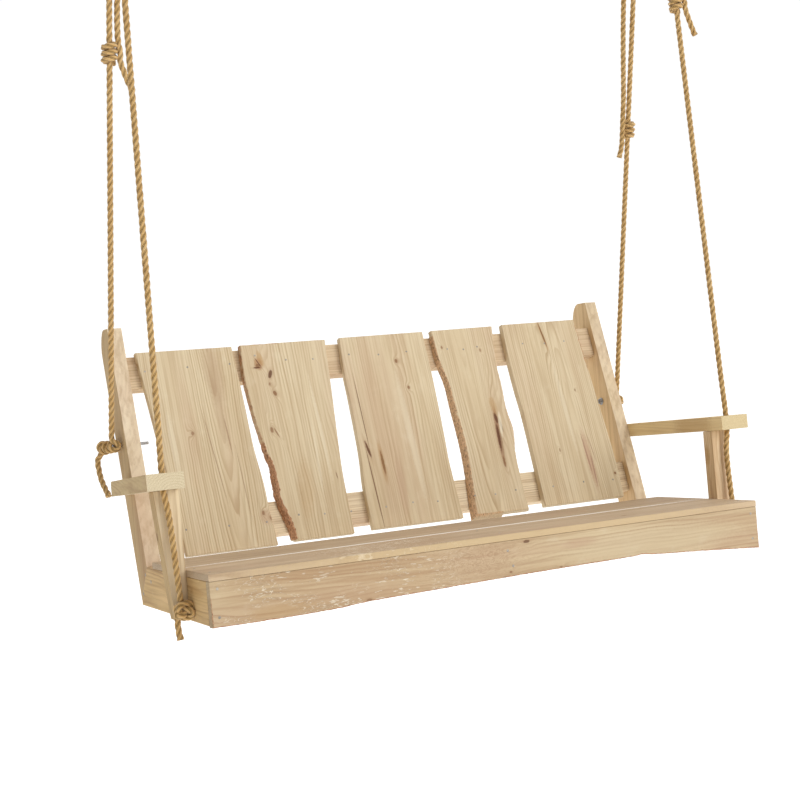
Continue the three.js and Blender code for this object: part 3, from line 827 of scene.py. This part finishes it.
def board(name, node, face, thickness, material, edge):
    """A board with the CAD board's outline, softened arrises and, where edge(a, b) gives
    (flare, roughness, bark), a natural edge: it widens toward the back and is uneven."""
    loop = resample(outline_of(node, face))
    n = len(loop)
    outward = []
    for i in range(n):
        before, here, after = loop[i - 1], loop[i], loop[(i + 1) % n]
        d1 = Vector((here[1] - before[1], before[0] - here[0], 0)).normalized()
        d2 = Vector((after[1] - here[1], here[0] - after[0], 0)).normalized()
        way = (d1 + d2).normalized()
        outward.append(way / max(0.5, way.dot(d1)))
    area = sum(loop[i - 1][0] * loop[i][1] - loop[i][0] * loop[i - 1][1] for i in range(n))
    if area < 0:
        outward = [-w for w in outward]
    # layers from the front face to the back: (depth, how far in from the outline)
    rounded = [(0.0, ARRIS + CAP_INSET), (0.0, ARRIS)]
    for k in range(1, ARRIS_STEPS + 1):
        turn = k * math.pi / 2 / ARRIS_STEPS
        rounded.append((ARRIS * (1 - math.cos(turn)), ARRIS * (1 - math.sin(turn))))
    layers = rounded + [(ARRIS + (thickness - 2 * ARRIS) * k / SIDE_STEPS, 0.0)
                        for k in range(1, SIDE_STEPS)]
    layers += [(thickness - depth, inset) for depth, inset in rounded[::-1]]
    verts, bark = [], []
    for number, (depth, inset) in enumerate(layers):
        capped = number in (0, len(layers) - 1)
        for i, (a, b, _) in enumerate(loop):
            flare, uneven, cover = edge(a, b)
            share = depth / thickness
            lump = noise.noise(Vector((a * 75, b * 75, depth * 110))) * uneven * 1.3
            lump += noise.noise(Vector((a * 210, b * 210, depth * 300))) * uneven * 0.8
            over = flare * math.sin(min(1.0, share) * math.pi / 2) - abs(lump) * 0.6 - inset
            over = min(over, flare)
            verts.append(face.point(a + outward[i].x * over, b + outward[i].y * over, depth))
            bark.append(0.0 if capped else cover * min(1.0, 0.85 + share * 0.6))
    faces = []
    for k in range(len(layers) - 1):
        for i in range(n):
            j = (i + 1) % n
            quad = (k * n + i, (k + 1) * n + i, (k + 1) * n + j, k * n + j)
            faces.append(quad if area > 0 else quad[::-1])
    front = list(range(n))
    back = [(len(layers) - 1) * n + i for i in range(n)]
    faces.append(front if area > 0 else front[::-1])
    faces.append(back[::-1] if area > 0 else back)
    obj = new_object(name, verts, faces, material, smooth=False)
    value = obj.data.attributes.new("bark", "FLOAT", "POINT")
    for i, cover in enumerate(bark):
        value.data[i].value = cover
    sharp_faces(obj)
    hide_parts(node)
    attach(obj, "swing")
    return obj


def sharp_faces(obj):
    """Smooth shading that keeps the sharper corners and the flat faces flat."""
    mesh = obj.data
    mesh.polygons.foreach_set("use_smooth", [True] * len(mesh.polygons))
    bm = bmesh.new()
    bm.from_mesh(mesh)
    for e in bm.edges:
        if len(e.link_faces) == 2 and e.calc_face_angle(0) > math.radians(35):
            e.smooth = False
    for f in bm.faces:
        if len(f.verts) > 8:
            f.smooth = False
            for e in f.edges:
                e.smooth = False
    bm.to_mesh(mesh)
    bm.free()


# ---- back boards ----
BOARD_LIGHT = (0.7, 0.585, 0.395)
BOARD_MID = (0.645, 0.52, 0.335)
BOARD_RING = (0.45, 0.315, 0.175)
BOARD_PITCH = (HALF - FRAME_T - 0.176) / 2


def back_wood(number, heart, marks, deep=-0.045, **more):
    middle = (number - 3) * BOARD_PITCH
    return wood(f"back_board_{number}_wood", BACK_FACE.b, -BACK_FACE.a,
                BACK_FACE.point(middle, 0), BOARD_LIGHT, BOARD_MID, BOARD_RING,
                heart=(-heart, deep), seed=number,
                marks=[(up, middle * 1000 - x, *rest) for x, up, *rest in marks], **more)


def no_edge(a, b):
    return 0.0, 0.0, 0.0


def edge_2(a, b):
    """Left edge: a thin dark line above, a wide torn strip of bark lower down."""
    if a > -BOARD_PITCH - 0.02 or b < 0.004:
        return 0.0, 0.0006, 0.0
    low = max(0.0, min(1.0, (0.3 - b) / 0.12))
    return 0.0015 + 0.0085 * low, 0.0016 + 0.006 * low, 0.5 + 0.5 * low


def edge_4(a, b):
    if b < 0.004 or b > 0.548:
        return 0.0, 0.0006, 0.0
    if a < BOARD_PITCH:
        low = max(0.0, min(1.0, (0.5 - b) / 0.25))
        return 0.004 + 0.008 * low, 0.0022, 0.7
    burl = math.exp(-(((b - 0.28) / 0.085) ** 2))
    return 0.005 + 0.004 * burl, 0.0016 + 0.006 * burl, 0.1 + 0.42 * burl


def edge_5(a, b):
    if a < 2 * BOARD_PITCH or b > 0.553:
        return 0.001, 0.0006, 0.0
    high = max(0.0, min(1.0, (b - 0.34) / 0.1))
    return 0.001 + 0.003 * high, 0.001 + 0.003 * high, 0.78 * high


# the bottom's natural edge: bark along its wane, whose dark line also stands in for painted shade
# along the bottom edge
def apron_edge(a, b):
    if b > -0.05:
        return 0.0, 0.0, 0.0
    return 0.0, 0.0022, 0.72


# for each board its heart, natural edge, marks and what else is its own. A mark here begins
# with its place along the bench and up the back rest.
BACK_BOARDS = [
    (0.048, no_edge, [
        (-500, 480, 100, 28, 0.04, WALNUT, 0.34),
        (-500, 380, 110, 13, 0.05, WALNUT, 0.28),
        (-488, 300, 60, 2.2, 0.05, (0.3, 0.17, 0.09), 0.6),
        (-535, 250, 140, 1.8, 0.1, THIN_BROWN, 0.6),
        (-470, 180, 110, 1.8, 0.04, THIN_BROWN, 0.55),
        (-583, 318, 6, 4.5, 0, KNOT_BROWN, 0.65),
        (-425, 75, 24, 20, 0, PINK, 0.45),
        (-432, 86, 7, 4, 0, KNOT_BROWN, 0.7),
        (-414, 70, 6, 3.5, 0.2, KNOT_BROWN, 0.6),
        (-640, 300, 90, 10, 0.02, PALE, 0.35),
    ], dict(deep=-0.006, cathedral=(0.64, 0.058), spacing=0.0062, blush=0.3, figure=1.15,
            sway_size=0.03)),
    (-0.3, edge_2, [
        (-366, 497, 20, 13, 0, (0.44, 0.25, 0.12), 0.95),
        (-358, 512, 24, 8, 0.2, AMBER, 0.6),
        (-369, 491, 6.5, 6, 0, KNOT_BROWN, 0.9),
        (-366, 499, 15, 1.5, 0.5, DARK_CRACK, 0.9),
        (-372, 486, 2.6, 11, 0, DARK_CRACK, 0.9),
        (-338, 465, 12, 6, -0.3, DARK_CRACK, 0.9),
        (-345, 437, 5, 3, 0, KNOT_BROWN, 0.65),
        (-335, 410, 8, 5.2, 0.2, KNOT_BROWN, 0.88),
        (-352, 300, 15, 2.2, 0.4, KNOT_BROWN, 0.7),
        (-364, 308, 9, 5, 0, KNOT_BROWN, 0.75),
        (-205, 165, 10, 1.4, 0.1, DARK_CRACK, 0.6),
        (-225, 300, 160, 5.5, 0.03, PALE, 0.5),
        (-250, 220, 120, 4, -0.04, PALE, 0.45),
        (-300, 140, 90, 25, -0.1, AMBER, 0.22),
    ], dict(spacing=0.008, blush=0.2, bark=BARK)),
    (0.02, no_edge, [
        (-62, 186, 36, 4.2, 0.02, DARK_CRACK, 1.0),
        (-63, 186, 62, 8.5, 0.02, AMBER, 0.4),
        (-95, 338, 110, 1.6, 0.015, DARK_CRACK, 0.7),
        (-98, 228, 26, 4, 0.2, DARK_CRACK, 0.9),
        (-101, 120, 130, 1.7, 0.03, DARK_CRACK, 0.75),
        (45, 477, 6.5, 4.8, 0, KNOT_BROWN, 0.85),
        (66, 396, 5.5, 4, 0, KNOT_BROWN, 0.8),
        (40, 250, 200, 12, 0.02, PALE, 0.35),
        (-20, 110, 90, 15, -0.03, PINK, 0.3),
    ], dict(spacing=0.0075, blush=0.34)),
    (-0.014, edge_4, [
        (318, 235, 85, 8.5, -0.04, KNOT_BROWN, 0.7),
        (316, 226, 46, 4.6, -0.05, DARK_CRACK, 1.0),
        (321, 283, 17, 5.2, 0.1, DARK_CRACK, 0.95),
        (332, 262, 22, 3.4, 0.1, DARK_CRACK, 0.8),
        (315, 151, 16, 3.6, 0, KNOT_BROWN, 0.9),
        (322, 320, 30, 12, 0.1, AMBER, 0.5),
        (331, 262, 40, 6, -0.1, PALE, 0.7),
        (199, 508, 5, 3.4, 0, KNOT_BROWN, 0.75),
        (322, 492, 6, 3, 0, KNOT_BROWN, 0.6),
    ], dict(deep=-0.008, cathedral=(0.66, 0.05), spacing=0.0068, blush=0.22, figure=1.1,
            sway_size=0.024, bark=TAN_BARK)),
    (0.03, edge_5, [
        (545, 525, 40, 2.6, 0.15, DARK_CRACK, 1.0),
        (545, 522, 55, 6, 0.15, AMBER, 0.35),
        (675, 81, 4.5, 4, 0, KNOT_BROWN, 0.85),
        (610, 346, 4.5, 3, 0, KNOT_BROWN, 0.55),
        (600, 130, 100, 12, 0.03, PINK, 0.7),
        (594, 150, 75, 2.4, 0.06, RED_LINE, 0.7),
        (606, 100, 56, 2.2, -0.02, RED_LINE, 0.7),
        (616, 165, 45, 1.8, 0.1, RED_LINE, 0.6),
        (507, 168, 6, 2.6, 0, KNOT_BROWN, 0.5),
        (560, 300, 160, 8, 0.03, PALE, 0.4),
    ], dict(deep=-0.008, cathedral=(-0.02, 0.05), spacing=0.0066, blush=0.16,
            sway_size=0.03, bark=BARK)),
]
for number, (heart, edge, marks, own) in enumerate(BACK_BOARDS, 1):
    board(f"board_{number}", f"back_board_{number}", BACK_FACE, BOARD_T,
          back_wood(number, heart, marks, **own), edge)

# ---- seat boards ----
def face_wood(name, face, light, mid, ring, **more):
    return wood(name, face.a, face.b, face.point(0, 0), light, mid, ring, **more)


def slat(which, heart, spacing, marks, **more):
    slat_wood = face_wood(f"{which}_slat_wood", SLAT_FACE, (0.6, 0.455, 0.3),
                          (0.52, 0.385, 0.25), (0.36, 0.24, 0.145), heart=heart,
                          spacing=spacing, marks=marks, **more)
    board(f"slat_{which}", f"seat_board_{which}", SLAT_FACE, SLAT_T, slat_wood, no_edge)


board("apron", "front_apron", APRON_FACE, APRON_T, face_wood(
    "apron_wood", APRON_FACE, (0.655, 0.515, 0.32), (0.575, 0.425, 0.255), (0.38, 0.235, 0.125),
    heart=(-0.17, 0.035), spacing=0.0085, seed=11, blush=0.34, shade=0.86, bark=BARK,
    burl=(-0.1, -0.05, 0.13, 0.05), galleries=(-0.78, -0.06), marks=[
        (-382, -107, 8, 3, 0, KNOT_BROWN, 0.7),
        (-2, -92, 4.5, 2.6, 0, KNOT_BROWN, 0.75),
        (141, -98, 5, 2.4, 0, KNOT_BROWN, 0.65),
        (48, -24, 9, 4, 0, DARK_CRACK, 0.8),
        (-600, -100, 90, 16, 0.03, AMBER, 0.3),
        (420, -70, 300, 45, 0, (0.68, 0.57, 0.37), 0.45),
        (-430, -30, 230, 14, 0.01, SHADE_BROWN, 0.45),
        (-330, -60, 160, 9, -0.04, SHADE_BROWN, 0.4),
        (200, -45, 60, 13, 0.05, PINK, 0.35),
    ]), apron_edge)
FRONT_ARRIS = (0.56, 0.42, 0.235)
GAP_LIGHT = (0.96, 0.92, 0.84)  # light through the gap between the seat boards
slat("front", (0.34, 0.06), 0.0075, [
    (0, -4, 900, 7.5, 0, FRONT_ARRIS, 0.85),
    (-150, 120, 7, 4, 0, KNOT_BROWN, 0.65),
    (380, 60, 8, 4, 0, KNOT_BROWN, 0.6),
], seed=21, blush=0.3, galleries=(-0.52, -0.02))
slat("rear", (0.2, 0.07), 0.0085, [
    (0, 213, 900, 5.2, 0, GAP_LIGHT, 1.0),
    (100, 300, 8, 4.5, 0, KNOT_BROWN, 0.7),
    (-420, 270, 60, 6, 0.02, AMBER, 0.35),
], seed=22, blush=0.25, shade=0.95)

# ---- framing ----
FRAME_LIGHT = (0.66, 0.51, 0.325)
FRAME_MID = (0.59, 0.44, 0.265)
FRAME_RING = (0.41, 0.27, 0.145)
UP_POST = (0, SIN, COS)
UP = (0, 0, 1)
BACKWARD = (0, 1, 0)
SIDE_WAYS = (1, 0, 0)


def soften(obj, width, segments):
    ease = obj.modifiers.new("ease", "BEVEL")
    ease.width = width
    ease.segments = segments
    ease.limit_method = "ANGLE"
    ease.angle_limit = math.radians(40)


def framing(node, along, across, origin, heart=(0.1, -0.04), marks=(), light=FRAME_LIGHT,
            mid=FRAME_MID, ring=FRAME_RING, **more):
    """A CAD timber with softened arrises and its own wood."""
    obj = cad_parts[node]
    weld = obj.modifiers.new("weld", "WELD")
    weld.merge_threshold = 0.0001
    soften(obj, 0.0022, 3)
    obj.data.materials.clear()
    obj.data.materials.append(wood(
        f"{node}_wood", (TURN @ Vector(along)).normalized(), (TURN @ Vector(across)).normalized(),
        at(*origin), light, mid, ring, heart=heart, marks=marks,
        **{"sway_size": 0.006, **more}))
    return obj


def painted_left_shade(*tint):
    """Painted shade: a darkening tint for the faces that look to the bench's left end, away from
    the lights.
    """
    return (((-1, 0, 0), tint),)


# painted shade for the left-looking faces of the left post, left armrest and left arm post
OLIVE_PAINTED_SHADE = painted_left_shade(0.66, 0.57, 0.41)
framing("back_post_left", UP_POST, BACKWARD, (-HALF, POST_FOOT_Y, 0), seed=31, heart=(0.16, 0.02),
        blush=0.45, light=(0.78, 0.65, 0.47), mid=(0.72, 0.58, 0.4), spacing=0.009,
        figure=0.28, side_tone=OLIVE_PAINTED_SHADE, marks=[
            (75, -3, 22, 10, 0, PINK, 0.6),
            (68, 0, 8, 4, 0, KNOT_BROWN, 0.75),
            (112, 2, 5, 4, 0, KNOT_BROWN, 0.6),
            (330, 50, 12, 7, 0.1, KNOT_BROWN, 0.55)])
# the right post's left-looking inner faces get painted shade
framing("back_post_right", UP_POST, BACKWARD, (HALF, POST_FOOT_Y, 0), seed=32, heart=(-0.05, -0.03),
        blush=0.35, light=(0.76, 0.62, 0.44), mid=(0.7, 0.56, 0.37), spacing=0.009,
        figure=0.28, side_tone=painted_left_shade(0.92, 0.82, 0.66), marks=[
            (420, 40, 10, 6, 0, KNOT_BROWN, 0.5)])
# the side rails' left-looking faces get painted shade
for side, sign in SIDES.items():
    framing(f"side_rail_{side}", BACKWARD, UP, (sign * HALF, 0, 0), seed=33 + sign,
            heart=(-0.1, 0.01 * sign), spacing=0.01, figure=1.15, blush=0.15,
            ring=(0.33, 0.205, 0.1), light=(0.68, 0.51, 0.29), mid=(0.58, 0.42, 0.22),
            sway_size=0.04, side_tone=painted_left_shade(0.96, 0.9, 0.76), marks=[
                (250, -60, 13, 8, 0, KNOT_BROWN, 0.7),
                (90, -45, 60, 12, 0.05, AMBER, 0.35)])
framing("armrest_left", BACKWARD, SIDE_WAYS, (-HALF - 0.045, ARM_FRONT_Y, ARM_TOP), seed=36,
        heart=(0.02, 0.06), blush=0.1, light=(0.76, 0.655, 0.45), mid=(0.69, 0.575, 0.37),
        end_tone=0.86, spacing=0.0062, figure=0.7, side_tone=OLIVE_PAINTED_SHADE, marks=[
            (280, 5, 11, 7, 0, KNOT_BROWN, 0.6)])
# painted light: this armrest's wood is much paler than the left one's so that its shaded inner side
# comes out light; its end_tone is lowered to keep its end grain like the left armrest's
framing("armrest_right", BACKWARD, SIDE_WAYS, (HALF + 0.045, ARM_FRONT_Y, ARM_TOP), seed=37,
        heart=(-0.03, 0.05), blush=0.08, light=(0.9, 0.74, 0.44), mid=(0.85, 0.67, 0.37),
        ring=(0.62, 0.45, 0.23), end_tone=0.66, spacing=0.0062, figure=0.7, marks=[
            (130, -42, 90, 18, 0, AMBER, 0.45),
            (300, 6, 10, 6, 0, KNOT_BROWN, 0.6)])
framing("arm_post_left", UP, BACKWARD, (-HALF - 0.02, 0.159, 0), seed=38, heart=(0.05, 0.03),
        blush=0.3, light=(0.8, 0.665, 0.45), mid=(0.72, 0.58, 0.37),
        side_tone=OLIVE_PAINTED_SHADE, marks=[(80, 30, 10, 6, 0, KNOT_BROWN, 0.6)])
framing("arm_post_right", UP, BACKWARD, (HALF + 0.02, 0.159, 0), seed=39,
        heart=(-0.02, 0.03), blush=0.4, ring=(0.42, 0.24, 0.11), light=(0.8, 0.63, 0.41),
        mid=(0.72, 0.54, 0.33), marks=[
            (120, 30, 30, 16, 0, AMBER, 0.55),
            (60, 55, 12, 8, 0.2, KNOT_BROWN, 0.75),
            (10, 20, 60, 6, 0.1, PINK, 0.45)])
framing("upper_back_rail", SIDE_WAYS, UP_POST, (0, POST_FOOT_Y + 0.16, 0.48), seed=40,
        heart=(0.12, 0.05), blush=0.5, light=(0.72, 0.57, 0.38), mid=(0.65, 0.495, 0.315),
        spacing=0.007, figure=0.9)
framing("lower_back_rail", SIDE_WAYS, UP_POST, (0, POST_FOOT_Y + 0.03, 0.06), seed=41,
        heart=(-0.14, 0.04), blush=0.45, spacing=0.006, light=(0.82, 0.69, 0.49),
        mid=(0.77, 0.63, 0.43))
framing("rear_stretcher", SIDE_WAYS, UP, (0, 0.46, -0.06), seed=42, heart=(0.1, 0.03))
framing("centre_support", BACKWARD, UP, (0, 0.2, -0.06), seed=43, heart=(-0.08, 0.02))


# ---- steel ----
def steel(name, bright, seed, tint=(1.0, 1.0, 1.02), metal=0.8):
    s = Shader(name)
    here = s.place()
    cloud = s.noise(here, 70.0 + seed, 4.0, 0.6)
    fine = s.noise(here, 900.0, 2.0, 0.5)
    flower = s.noise(here, 260.0, 2.0, 0.6)
    low, high = tuple(bright * 0.62 * c for c in tint), tuple(bright * c for c in tint)
    colour = s.mix(s.span(cloud, 0.35, 0.65), low, high)
    colour = s.stain(colour, s.span(flower, 0.52, 0.6), 0.25, tuple(0.72 * c for c in tint))
    colour = s.stain(colour, s.span(cloud, 0.66, 0.78), 0.45, (0.22, 0.13, 0.07))
    s.bump(fine, 0.0002, 0.5)
    return s.finish(colour, s.mul_add(cloud, 0.25, 0.38), metal, 0.5)


ZINC = steel("zinc_steel", 0.5, 1)
SCREW = steel("screw_heads", 0.4, 2, (1.0, 0.9, 0.76), 0.45)
for node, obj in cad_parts.items():
    if node.startswith(("eye_bolt", "nut_", "ceiling")):
        obj.data.materials.clear()
        obj.data.materials.append(ZINC)
        if node.startswith("ceiling"):
            soften(obj, 0.0008, 2)


# ---- nails and screws ----
def heads(name, places, radius, rise, body="swing", recess=False):
    """Domed heads standing a little proud: places are (point, the way the head looks)."""
    verts, faces = [], []
    rings = [(1.0, -0.4), (1.0, 0.2), (0.93, 0.62), (0.72, 0.9), (0.4, 1.0)]
    if recess:
        rings += [(0.34, 0.96), (0.26, 0.25)]
    sides = 16
    for point, look in places:
        x_way = look.orthogonal().normalized()
        y_way = look.cross(x_way)
        base = len(verts)
        for r, h in rings:
            for k in range(sides):
                turn = 2 * math.pi * k / sides
                reach = (x_way * math.cos(turn) + y_way * math.sin(turn)) * radius * r
                verts.append(point + reach + look * rise * h)
        for i in range(len(rings) - 1):
            for k in range(sides):
                a, b = base + i * sides + k, base + i * sides + (k + 1) % sides
                faces.append((a, b, b + sides, a + sides))
        top = base + (len(rings) - 1) * sides
        faces.append(list(range(top, top + sides)))
        faces.append(list(range(base, base + sides))[::-1])
    obj = new_object(name, verts, faces, SCREW)
    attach(obj, body)
    return obj


def on(face, spots):
    """Heads at places on a face, given in millimetres."""
    return [(face.point(x / 1000, up / 1000), face.n) for x, up in spots]


BOARD_HEADS = [
    (-681, 497), (-565, 501), (-447, 502), (-645, 66), (-530, 63), (-427, 61),
    (-372, 521), (-285, 503), (-205, 500), (-335, 70), (-262, 64), (-185, 62),
    (-95, 506), (-5, 500), (84, 503), (-80, 63), (2, 66), (78, 61),
    (216, 502), (268, 498), (315, 503), (196, 64), (262, 61), (330, 66),
    (470, 503), (545, 499), (615, 502), (455, 63), (560, 66), (662, 62),
]
heads("nails_back", on(BACK_FACE, BOARD_HEADS), 0.0027, 0.0005)
APRON_HEADS = [(-744, -33), (-744, -96), (742, -33), (742, -99),
               (-6, -40), (6, -78)]
heads("nails_apron", on(APRON_FACE, APRON_HEADS), 0.0034, 0.0006)
SLAT_HEADS = [(x, y) for y in (48, 160, 252, 385) for x in (-742, 2, 743)]
heads("nails_seat", on(SLAT_FACE, SLAT_HEADS), 0.0032, 0.0006)


def arm_heads():
    spots = []
    for side, sign in SIDES.items():
        tilt = -math.asin(ARM_DROP[side] / ARM_LENGTH)
        look = (TURN @ Vector((0, -math.sin(tilt), math.cos(tilt)))).normalized()
        for back, out in ((0.068, 0.016), (0.072, 0.062), (ARM_LENGTH - 0.072, 0.019)):
            spots.append((at(sign * (HALF + out), ARM_FRONT_Y + back * math.cos(tilt),
                             ARM_TOP + back * math.sin(tilt)), look))
    return spots


heads("screws_arms", arm_heads(), 0.0042, 0.0007, recess=True)
SIDE_HEADS = []
for sign in (-1, 1):
    look = TURN @ Vector((sign, 0, 0))
    for y, z in ((0.5, -0.036), (0.53, -0.086), (0.455, -0.05)):
        SIDE_HEADS.append((at(sign * HALF, y, z), look))
heads("screws_sides", SIDE_HEADS, 0.0044, 0.0008, recess=True)
heads("screws_ceiling", [(Vector((sign * (HALF + HANG_OUT), y, -PLATE_T)), Vector((0, 0, -1)))
                         for sign in (-1, 1) for y in (-0.041, 0.041)],
      0.0055, 0.0022, "ceiling_hangers", recess=True)

# ---- stage ----
FLOOR_DROP = 0.62  # the floor lies this far below the swing
FLOOR_HALF = 30
FLOOR_GLOW = 0.42
SKY_LEFT, SKY_RIGHT = (0.29, 0.268, 0.225, 1), (1.02, 1.02, 1.02, 1)


def make_stage():
    s = Shader("pale_floor")
    s.surface.inputs["Emission Color"].default_value = (1, 1, 1, 1)
    s.surface.inputs["Emission Strength"].default_value = FLOOR_GLOW
    floor_material = s.finish((0.9, 0.9, 0.9), 0.9, 0.0, 0.1)
    corners = [(x * FLOOR_HALF, y * FLOOR_HALF, cad_low.z - FLOOR_DROP)
               for x, y in ((-1, -1), (1, -1), (1, 1), (-1, 1))]
    floor = new_object("floor", corners, [(0, 1, 2, 3)], floor_material, smooth=False)

    world = bpy.data.worlds.new("studio")
    bpy.context.scene.world = world
    world.use_nodes = True
    nodes, links = world.node_tree.nodes, world.node_tree.links
    nodes.clear()
    out, glow, where, parts, fade, span = (nodes.new(f"ShaderNode{kind}") for kind in (
        "OutputWorld", "Background", "TexCoord", "SeparateXYZ", "ValToRGB", "MapRange"))
    for a, b in ((where.outputs["Generated"], parts.inputs[0]),
                 (parts.outputs["X"], span.inputs[0]), (span.outputs[0], fade.inputs[0]),
                 (fade.outputs[0], glow.inputs["Color"]), (glow.outputs[0], out.inputs[0])):
        links.new(a, b)
    span.inputs[1].default_value, span.inputs[2].default_value = -1, 1
    row = fade.color_ramp.elements
    row[0].position, row[0].color = 0.05, SKY_LEFT
    row[1].position, row[1].color = 0.58, SKY_RIGHT

    def soft_light(name, place, target, size, power):
        data = bpy.data.lights.new(name, "AREA")
        data.size = size
        data.energy = power
        lamp = bpy.data.objects.new(name, data)
        link(lamp)
        lamp.location = place
        lamp.rotation_euler = (Vector(target) - Vector(place)).to_track_quat("-Z", "Y").to_euler()

    soft_light("key", (3.6, -6.6, 2.0), (0, 0, -1.8), 3.6, 205)
    soft_light("back", (-1.5, 3.6, 0.6), (0, 0.3, -1.7), 2.5, 45)


make_stage()
bpy.context.scene.view_settings.view_transform = "Standard"
